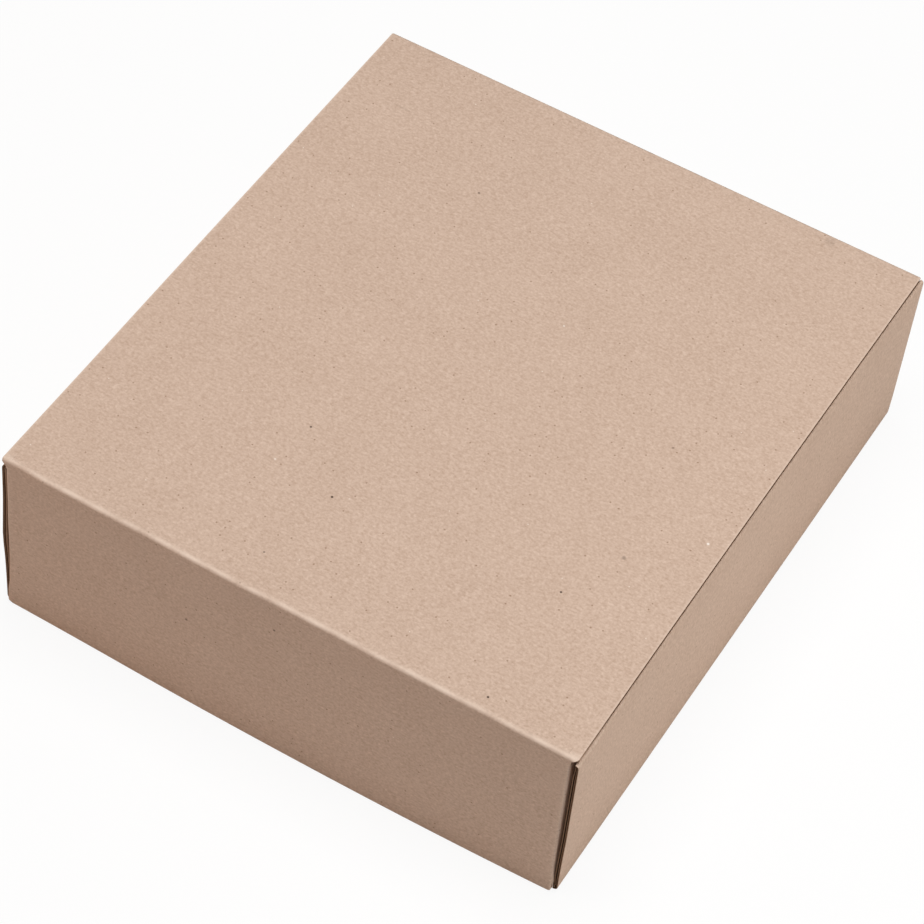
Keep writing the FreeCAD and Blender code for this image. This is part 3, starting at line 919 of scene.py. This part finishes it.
@dataclass
class BoxSizes:
    """Where the drawn faces are, in millimetres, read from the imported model."""

    side_x: float
    back_y: float
    height: float
    axis_y: float
    board: Board = Board()
    layer_gap: float = 0.3
    pocket_gap: float = 0.6
    lid_gap: float = 0.4
    seam_run: float = 3.8
    crease_bend: float = 1.2

    @classmethod
    def read(cls) -> "BoxSizes":
        """Reads the outer sizes from the box's solid and the crease from its joint.

        Returns:
            The sizes in millimetres.
        """
        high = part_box("box_body")[1]
        joint = next(row for row in frame["joints"] if row["name"] == "flap_crease")
        return cls(high.x / MM, high.y / MM, high.z / MM, joint["pos_m"][1] / MM)

    @property
    def front_y(self) -> float:
        """Outer face of the front flap at its crease."""
        return self.axis_y - self.board.thickness / 2

    @property
    def ear_x(self) -> float:
        """Outer face of the flap's and the back wall's ears."""
        return self.side_x - self.board.thickness - self.pocket_gap

    @property
    def panel_x(self) -> float:
        """Where the flap and the back wall start to bend into their ears."""
        return self.ear_x - self.board.bend

    @property
    def front_ear_x(self) -> float:
        """Outer face of the front wall's ears."""
        return self.ear_x - self.board.thickness - self.layer_gap

    @property
    def inner_wall_x(self) -> float:
        """Outer side of a side's inner wall, against the ears."""
        return self.front_ear_x - self.board.thickness - self.layer_gap

    @property
    def wall_top(self) -> float:
        """Top of the walls, under the lid."""
        return self.height - self.board.thickness - self.lid_gap

    @property
    def front_wall_y(self) -> float:
        """Outer face of the front wall, behind the flap."""
        return self.front_y + self.board.thickness + self.layer_gap

    @property
    def ear_low(self) -> float:
        """Lower edge of the ears, above the bottom."""
        return self.board.thickness + self.layer_gap

    @property
    def ear_high(self) -> float:
        """Upper edge of the ears, under the rolled top of the sides."""
        return self.wall_top - self.board.thickness - self.layer_gap


@dataclass
class TrayAndLid:
    """Front wall, bottom, back wall and lid: one long bent strip."""

    sizes: BoxSizes
    slot_gap: float = 0.3
    tab_width: float = 42.0
    tab_spacing: float = 120.0
    corner: float = 1.6
    corner_steps: tuple[float, ...] = (0.0, 0.05, 0.2, 0.4, 0.7, 1.1, 1.6)
    wide_degrees: float = 60.0
    notch_gap: float = 0.04
    rim: float = 0.9
    cell: tuple[float, float] = (6.0, 8.0)
    medium_reach: float = 6.0

    def sheet(self) -> Sheet:
        """Lays out the strip with its steps in width, the tab slots and the lid's corners.

        Returns:
            The strip, which ends at the front where the lid starts to bend into the flap.
        """
        sizes, bend = self.sizes, self.sizes.board.bend
        corners = np.array([(sizes.front_wall_y, sizes.wall_top), (sizes.front_wall_y, 0.0),
                            (sizes.back_y, 0.0), (sizes.back_y, sizes.height),
                            (sizes.front_y + sizes.crease_bend, sizes.height)])
        path = FoldPath(corners, (bend, bend, bend))
        marks = path.marks
        bottom_start, bottom_end, lid_start = marks[2], marks[3], marks[6]
        seam = marks[-1] - (sizes.seam_run - sizes.crease_bend)
        slot_low = sizes.inner_wall_x - sizes.board.thickness - self.slot_gap
        slot_high = sizes.inner_wall_x + self.slot_gap
        flat_x = sizes.side_x - bend
        notch_x = sizes.panel_x + self.notch_gap
        wide_start = lid_start - bend * math.radians(self.wide_degrees)
        middle = bottom_start - (sizes.front_wall_y + bend)
        half = self.tab_width / 2 + self.slot_gap
        slots = [middle + sign * self.tab_spacing / 2 for sign in (-1, 1)]

        def keep(s: Array, v: Array) -> Array:
            """Width of each panel, less the slots and the notch for the crease.

            Args:
                s: arc lengths at the middles of the cells.
                v: widths there.

            Returns:
                Which cells exist.
            """
            x = np.abs(v)
            wide = np.where(s < bottom_start, x < sizes.front_ear_x - bend, x < sizes.panel_x)
            wide = np.where((s > bottom_start) & (s < bottom_end), x < flat_x, wide)
            wide = np.where(s > wide_start, x < sizes.side_x, wide)
            wide &= ~((s > seam) & (x < notch_x))
            for place in slots:
                wide &= ~((np.abs(s - place) < half) & (x > slot_low) & (x < slot_high))
            return wide

        def trim(s: Array, v: Array) -> Array:
            """Rounds the lid's back corners: the edge draws in by a quarter circle's height.

            Args:
                s: arc lengths of the points.
                v: their widths.

            Returns:
                The widths with the outline cut.
            """
            drawn = corner_draw(np.abs(s - wide_start), self.corner)
            drawn *= ramp(np.abs(v), flat_x, sizes.side_x)
            return v - np.sign(v) * drawn * (s > wide_start - CLOSE_MM / 2)

        columns = (slot_low, slot_high, sizes.front_ear_x - bend, sizes.panel_x, notch_x, flat_x,
                   sizes.side_x - self.rim)
        places = [place + sign * half for place in slots for sign in (-1, 1)]
        rounding = [wide_start + step for step in self.corner_steps]
        along = stops(0.0, marks[-1], self.cell[0], (*marks, *places, *rounding, seam))
        across = stops(-sizes.side_x, sizes.side_x, self.cell[1], columns + tuple(-c for c in columns))
        return Sheet(path, Plane.SIDE, Flutes.ACROSS_PATH, merged(along, path.bend_rows()),
                     across, keep=keep, trim=trim)

    def build(self, finishes: Finishes) -> None:
        """Makes the liners and, at the lid's cut sides, the medium.

        Args:
            finishes: the board's materials.
        """
        sheet = self.sheet()
        lid_start = sheet.path.marks[6]
        near = self.sizes.side_x - self.medium_reach
        wave = sheet.medium(lambda s, v: (s > lid_start) & (np.abs(v) > near))
        for name, shells in (("tray_and_lid_liners", sheet.liners()), ("lid_edge_medium", wave)):
            piece = make_piece(name, shells, finishes.board)
            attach(piece, "box")
            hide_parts("box_body")


@dataclass
class RolledSide:
    """One side wall: outer wall, rolled top, inner wall and its lock tabs."""

    sizes: BoxSizes
    side: Side
    roll_bend: float
    roll_crush: float = 0.7
    tab_width: float = 42.0
    tab_spacing: float = 120.0
    tab_end: float = 0.3
    foot_run: float = 1.3
    foot_y: float = -123.8
    cell: tuple[float, float] = (6.0, 8.0)
    medium_y: float = 119.0

    def sheet(self) -> Sheet:
        """Lays out the wall.

        Returns:
            The strip from the bottom's edge, up, over the roll and down to the tabs.
        """
        sizes, bend = self.sizes, self.sizes.board.bend
        inner_x = sizes.inner_wall_x - sizes.board.thickness
        corners = np.array([(sizes.side_x - bend - self.foot_run, 0.0), (sizes.side_x, 0.0),
                            (sizes.side_x, sizes.wall_top), (inner_x, sizes.wall_top),
                            (inner_x, self.tab_end)])
        path = FoldPath(corners, (bend, self.roll_bend, self.roll_bend), crush=self.roll_crush)
        marks = path.marks
        tab_start = marks[-1] - (sizes.ear_low - self.tab_end)
        roll_front = sizes.front_wall_y + sizes.board.thickness + sizes.layer_gap
        roll_back = sizes.back_y - sizes.board.thickness - sizes.layer_gap

        def keep(s: Array, v: Array) -> Array:
            """The foot, roll and inner wall are narrower, and only the tabs go below them.

            Args:
                s: arc lengths at the middles of the cells.
                v: widths there.

            Returns:
                Which cells exist.
            """
            rolled = (v > roll_front) & (v < roll_back)
            tabs = np.abs(np.abs(v) - self.tab_spacing / 2) < self.tab_width / 2
            foot = (v > self.foot_y) & (v < sizes.front_wall_y + bend)
            wall = np.where(s < self.foot_run, foot, True)
            return wall & ((s < marks[4]) | rolled) & ((s <= tab_start) | tabs)

        tabs = tuple(sign * self.tab_spacing / 2 + end * self.tab_width / 2
                     for sign in (-1, 1) for end in (-1, 1))
        along = stops(0.0, marks[-1], self.cell[0], (*marks, tab_start))
        widths = (self.foot_y, sizes.front_wall_y + bend, roll_front, roll_back,
                  -self.medium_y, self.medium_y)
        across = stops(sizes.front_y, sizes.back_y, self.cell[1], tabs + widths)
        return Sheet(path, Plane.FRONT, Flutes.ALONG_PATH, merged(along, path.bend_rows()),
                     across, keep=keep, side=self.side)

    def build(self, finishes: Finishes) -> None:
        """Makes the liners and the medium at the front and back cut edges.

        Args:
            finishes: the board's materials.
        """
        sheet = self.sheet()
        wave = sheet.medium(lambda s, v: np.abs(v) > self.medium_y)
        for part, shells in (("liners", sheet.liners()), ("medium", wave)):
            piece = make_piece(f"side_wall_{self.side.name.lower()}_{part}", shells, finishes.board)
            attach(piece, "box")
            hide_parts("box_body")


# The left wall's rolled top is rounder than the right one's.
ROLL_BENDS = {Side.LEFT: 2.6, Side.RIGHT: 1.3}
# How far the ears reach from their wall's outer face.
FRONT_EAR_MM = 70.0
BACK_EAR_MM = 60.0


@dataclass
class TuckedEar:
    """An ear of the front or back wall, turned into the pocket of a side wall."""

    sizes: BoxSizes
    name: str
    side: Side
    wall_y: float
    face_x: float
    end_y: float
    corner: float = 9.0
    cell: tuple[float, float] = (12.0, 10.0)

    def sheet(self) -> Sheet:
        """Lays out the ear.

        Returns:
            The strip from the wall's edge, round its bend and along the side.
        """
        sizes, bend = self.sizes, self.sizes.board.bend
        corners = np.array([(self.face_x - bend, self.wall_y), (self.face_x, self.wall_y),
                            (self.face_x, self.end_y)])
        path = FoldPath(corners, (bend,))
        end = path.marks[-1]
        low, high = sizes.ear_low, sizes.ear_high
        middle, half = (low + high) / 2, (high - low) / 2

        def trim(s: Array, v: Array) -> Array:
            """Rounds the ear's corners: its height draws in by a quarter circle's."""
            return middle + (v - middle) * (half - corner_draw(end - s, self.corner)) / half

        along = stops(0.0, end, self.cell[0], (*path.marks, *corner_rows(end, self.corner)))
        along = merged(along, np.linspace(0.0, path.marks[2], BEND_ROWS))
        across = stops(low, high, self.cell[1])
        return Sheet(path, Plane.TOP, Flutes.ALONG_PATH, along, across, trim=trim, side=self.side)

    def build(self, finishes: Finishes) -> None:
        """Makes the ear's liners and its medium.

        Args:
            finishes: the board's materials.
        """
        sheet = self.sheet()
        for part, shells in (("liners", sheet.liners()), ("medium", sheet.medium(whole))):
            name = f"{self.name}_{self.side.name.lower()}_{part}"
            piece = make_piece(name, shells, finishes.board)
            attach(piece, "box")
            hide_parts("box_body")


@dataclass
class LidCrease:
    """The crease between lid and flap: a soft quarter bend."""

    sizes: BoxSizes
    left_end: tuple[float, ...] = (1.0, 1.0, 0.95, 0.46)
    right_end: tuple[float, ...] = (1.0, 0.85, 0.5, 0.46)
    crush: float = 0.75
    bend_rows: int = 12
    cell: tuple[float, float, float] = (1.0, 0.5, 2.0)

    def sheet(self) -> Sheet:
        """Lays out the bend, which is as wide as the lid and narrows to the flap below it.

        Returns:
            The bend, with its two ends cut as the photograph shows them.
        """
        sizes, bend = self.sizes, self.sizes.crease_bend
        run = sizes.seam_run
        corners = np.array([(sizes.front_y + run, sizes.height), (sizes.front_y, sizes.height),
                            (sizes.front_y, sizes.height - run)])
        path = FoldPath(corners, (bend,), crush=self.crush)
        marks = path.marks

        def keep(s: Array, v: Array) -> Array:
            """The lid's own corners fill the ends before the bend starts."""
            return (np.abs(v) < sizes.panel_x) | (s > marks[1])

        def trim(s: Array, v: Array) -> Array:
            """Draws in each end by a share of its overhang that falls along the bend.

            Args:
                s: arc lengths of the points.
                v: their widths.

            Returns:
                The widths with the outline cut.
            """
            places = (marks[1], (marks[1] + marks[2]) / 2, marks[2], marks[3])
            left, right = (np.interp(s, places, end) for end in (self.left_end, self.right_end))
            over = np.clip(np.abs(v) - sizes.panel_x, 0, None)
            return v - np.sign(v) * over * (1 - np.where(v < 0, left, right))

        above, below, wide = self.cell
        along = merged(stops(0.0, marks[1], above), np.linspace(*marks[1:3], self.bend_rows),
                       stops(marks[2], marks[3], below))
        across = stops(-sizes.side_x, sizes.side_x, wide, (-sizes.panel_x, sizes.panel_x))
        return Sheet(path, Plane.SIDE, Flutes.ACROSS_PATH, along, across, keep=keep, trim=trim)

    def build(self, finishes: Finishes) -> None:
        """Makes the bend's two liners.

        Args:
            finishes: the board's materials.
        """
        sheet = self.sheet()
        piece = make_piece("lid_crease", sheet.liners(), finishes.board)
        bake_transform(piece)
        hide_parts("front_flap")


@dataclass
class FrontFlap:
    """The lid's front flap with an ear at each end, sprung out along its lower edge.

    Sizes are in millimetres. The left shift is a row of heights and a row of distances.
    """

    sizes: BoxSizes
    low: float = 0.3
    bow: float = 2.3
    bow_power: float = 2.2
    end_bow: float = 0.5
    lean: float = 0.25
    drop_run: float = 70.0
    drop_power: float = 1.25
    corners: tuple[float, float] = (3.0, 2.2)
    corner_fade: float = 12.0
    fold: float = 0.8
    fold_crush: float = 0.45
    ear_low: float = 1.8
    left_shift: tuple[tuple[float, ...], ...] = (
        (3, 6, 12, 23, 34, 45, 55), (1.25, 1.15, 0.45, 0.15, 0.1, 0.15, 0.0))
    left_spring: float = 0.9
    right_shift: float = 0.6
    shift_x: tuple[float, float] = (60.0, 108.0)
    free_y: tuple[float, float] = (119.0, 123.0)
    ear_corner: float = 9.0
    ear_end_y: float = -93.0
    pocket_y: float = -121.7
    cell: tuple[float, float] = (5.0, 4.0)

    def sheet(self) -> Sheet:
        """Lays out the flap.

        Returns:
            The strip from one ear's end, across the panel, to the other's.
        """
        sizes = self.sizes
        corners = np.array([(-sizes.ear_x, self.ear_end_y), (-sizes.ear_x, sizes.front_y),
                            (sizes.ear_x, sizes.front_y), (sizes.ear_x, self.ear_end_y)])
        bend = self.fold
        path = FoldPath(corners, (bend, bend), crush=self.fold_crush)
        marks = path.marks
        middle_s = marks[-1] / 2
        seam = sizes.height - sizes.seam_run
        ear_top = sizes.wall_top - sizes.layer_gap
        bend_s = marks[4] - middle_s
        pocket_s = bend_s + (self.pocket_y - sizes.front_y - bend)
        end_s = marks[-1] - middle_s
        middle, half = (self.ear_low + sizes.ear_high) / 2, (sizes.ear_high - self.ear_low) / 2

        def keep(s: Array, v: Array) -> Array:
            """The panel reaches the lower edge, and the ears are shorter and step down.

            Args:
                s: arc lengths at the middles of the cells.
                v: widths there.

            Returns:
                Which cells exist.
            """
            far = np.abs(s - middle_s)
            ear = (v > self.ear_low) & (v < np.where(far < pocket_s, ear_top, sizes.ear_high))
            return np.where(far < bend_s, v < seam, ear)

        def trim(s: Array, v: Array) -> Array:
            """Rounds the panel's lower corners and the ears' ends by quarter circles.

            Args:
                s: arc lengths of the points.
                v: their widths.

            Returns:
                The widths with the outline cut.
            """
            far = np.abs(s - middle_s)
            lift = corner_draw(bend_s - far, np.where(s < middle_s, *self.corners))
            share = ramp(v, self.corner_fade, self.low)
            lower = v + lift * share * (far <= bend_s)
            drawn = corner_draw(end_s - far, self.ear_corner)
            return np.where(far > pocket_s, middle + (v - middle) * (half - drawn) / half, lower)

        places = [sizes.panel_x, pocket_s, *corner_rows(end_s, self.ear_corner)]
        for corner in self.corners:
            places += corner_rows(bend_s, corner)
        both = [middle_s + sign * place for place in places for sign in (-1, 1)]
        along = stops(0.0, marks[-1], self.cell[0], (*marks, *both))
        across = stops(self.low, ear_top, self.cell[1], (self.ear_low, seam, sizes.ear_high))
        return Sheet(path, Plane.TOP, Flutes.ALONG_PATH, merged(along, path.bend_rows()),
                     across, keep=keep, trim=trim)

    def spring(self, shells: list[Shell]) -> list[Shell]:
        """Springs the panel out: a power curve over x plus a lean, growing downward.

        Its left bend also slips outward past the side wall by a curve of the height, and the
        foot of its right bend a little. All fade to nothing where the ears enter their pockets.

        Args:
            shells: skins of the flap, changed in place.

        Returns:
            The same skins.
        """
        seam_z = self.sizes.height - self.sizes.seam_run
        for shell in shells:
            x, y, z = shell.points.T.copy()
            share = np.clip(x / self.shift_x[1], -1, 1)
            out = self.bow * (1 - np.abs(share) ** self.bow_power) + self.end_bow + self.lean * share
            left, right = (ramp(sign * x, *self.shift_x) ** 2 for sign in (-1, 1))
            drop = ramp(z, seam_z, seam_z - self.drop_run)
            free = ramp(-y, *self.free_y)
            out = out * drop ** self.drop_power + self.left_spring * left * drop
            shell.points[:, 1] -= out * free
            shell.points[:, 0] -= np.interp(z, *self.left_shift) * left * free
            right *= ramp(z, self.corner_fade, 0)
            shell.points[:, 0] += self.right_shift * right * free
        return shells

    def build(self, finishes: Finishes) -> None:
        """Makes the flap's liners and its medium.

        Args:
            finishes: the board's materials.
        """
        sheet = self.sheet()
        for part, shells in (("liners", sheet.liners()), ("medium", sheet.medium(whole))):
            piece = make_piece(f"front_flap_{part}", self.spring(shells), finishes.board)
            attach(piece, "flap")
            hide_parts("front_flap")


@dataclass(frozen=True)
class Softbox:
    """A square studio lamp that points at the box."""

    name: str
    place: tuple[float, float, float]
    size: float
    watts: float
    tint: str
    aim: tuple[float, float, float] = (0.0, 0.0, 0.03)

    def build(self) -> None:
        """Hangs the lamp, turned toward its aim and not itself seen by the camera."""
        lamp = bpy.data.lights.new(self.name, "AREA")
        lamp.shape = "SQUARE"
        lamp.size = self.size
        lamp.energy = self.watts
        lamp.color = linear(self.tint)[:3]
        item = bpy.data.objects.new(self.name, lamp)
        item.location = self.place
        item.visible_camera = False
        way = Vector(self.aim) - Vector(self.place)
        item.rotation_euler = way.to_track_quat("-Z", "Y").to_euler()
        bpy.context.scene.collection.objects.link(item)


@dataclass
class Studio:
    """Floor, white surroundings, lamps and camera."""

    sky: float = 0.1
    white: str = "#ffffff"
    floor_tone: str = "#f4f2f0"
    floor_reach: float = 3.0
    floor_drop: float = -0.0003
    shadow_share: float = 0.1
    lamps: tuple[Softbox, ...] = (
        Softbox("top_softbox", (0.0, 0.0, 1.6), 1.0, 22.3, "#ffffff"),
        Softbox("right_card", (0.62, 0.0, 0.25), 0.3, 1.02, "#fff7ef"),
        Softbox("left_softbox", (-1.2, -0.6, 0.35), 0.6, 3.2, "#ffae62"),
    )
    focal_pixels: float = 3401.15
    frame_pixels: float = 924.0
    sensor_mm: float = 36.0
    camera_place: tuple[float, float, float] = (0.337364, -0.695059, 0.947747)
    azimuth: float = 26.0223
    elevation: float = 50.1397
    roll: float = 6.1123

    def build(self) -> None:
        """Sets up everything round the box."""
        self.build_floor()
        self.build_world()
        for lamp in self.lamps:
            lamp.build()
        self.build_camera()
        bpy.context.scene.view_settings.view_transform = "Standard"

    def build_floor(self) -> None:
        """A white floor that the camera sees almost plain, with the box's shadow kept faint."""
        mesh = bpy.data.meshes.new("floor")
        reach, level = self.floor_reach, self.floor_drop
        mesh.from_pydata([(-reach, -reach, level), (reach, -reach, level), (reach, reach, level),
                          (-reach, reach, level)], [], [(0, 1, 2, 3)])
        floor = bpy.data.objects.new("floor", mesh)
        bpy.context.scene.collection.objects.link(floor)
        material = bpy.data.materials.new("white_paper_floor")
        material.use_nodes = True
        tree = material.node_tree
        tree.nodes.clear()
        path = add_node(tree, "ShaderNodeLightPath")
        matt = add_node(tree, "ShaderNodeBsdfDiffuse", {"Color": linear(self.floor_tone)}).outputs[0]
        glow = add_node(tree, "ShaderNodeEmission",
                        {"Color": linear(self.white), "Strength": 1.0}).outputs[0]
        seen = add_node(tree, "ShaderNodeMixShader", {0: 1.0 - self.shadow_share},
                        {1: matt, 2: glow}).outputs[0]
        shader = add_node(tree, "ShaderNodeMixShader", {},
                          {0: path.outputs["Is Camera Ray"], 1: matt, 2: seen})
        add_node(tree, "ShaderNodeOutputMaterial", {}, {"Surface": shader.outputs[0]})
        mesh.materials.append(material)

    def build_world(self) -> None:
        """Soft light from all round, seen by the camera as white."""
        world = bpy.data.worlds.new("white_room")
        world.use_nodes = True
        tree = world.node_tree
        tree.nodes.clear()
        path = add_node(tree, "ShaderNodeLightPath")
        light = add_node(tree, "ShaderNodeBackground",
                         {"Color": linear(self.white), "Strength": self.sky}).outputs[0]
        white = add_node(tree, "ShaderNodeBackground",
                         {"Color": linear(self.white), "Strength": 1.0}).outputs[0]
        shader = add_node(tree, "ShaderNodeMixShader", {},
                          {0: path.outputs["Is Camera Ray"], 1: light, 2: white})
        add_node(tree, "ShaderNodeOutputWorld", {}, {"Surface": shader.outputs[0]})
        bpy.context.scene.world = world

    def build_camera(self) -> None:
        """The camera where the photograph was taken, from the box's own corners."""
        data = bpy.data.cameras.new("photo_camera")
        data.sensor_width = self.sensor_mm
        data.lens = self.focal_pixels / self.frame_pixels * data.sensor_width
        data.clip_start, data.clip_end = 0.01, 20.0
        camera = bpy.data.objects.new("photo_camera", data)
        a, e, r = (math.radians(angle) for angle in (self.azimuth, self.elevation, self.roll))
        back = Vector((math.sin(a) * math.cos(e), -math.cos(a) * math.cos(e), math.sin(e)))
        level = Vector((math.cos(a), math.sin(a), 0.0))
        upright = back.cross(level)
        right = level * math.cos(r) + upright * math.sin(r)
        up = upright * math.cos(r) - level * math.sin(r)
        camera.matrix_world = Matrix.Translation(self.camera_place) @ Matrix(
            (right, up, back)).transposed().to_4x4()
        bpy.context.scene.collection.objects.link(camera)
        bpy.context.scene.camera = camera


def main() -> None:
    """Builds the stage, then every stretch of the box in order."""
    logging.basicConfig(level=logging.INFO, format="%(name)s: %(message)s")
    sizes = BoxSizes.read()
    Studio().build()
    finishes = Finishes()
    TrayAndLid(sizes).build(finishes)
    for side in Side:
        RolledSide(sizes, side, ROLL_BENDS[side]).build(finishes)
        TuckedEar(sizes, "front_ear", side, sizes.front_wall_y, sizes.front_ear_x,
                  sizes.front_wall_y + FRONT_EAR_MM).build(finishes)
        TuckedEar(sizes, "back_ear", side, sizes.back_y, sizes.ear_x,
                  sizes.back_y - BACK_EAR_MM).build(finishes)
    LidCrease(sizes).build(finishes)
    FrontFlap(sizes).build(finishes)


if __name__ == "__main__":
    main()
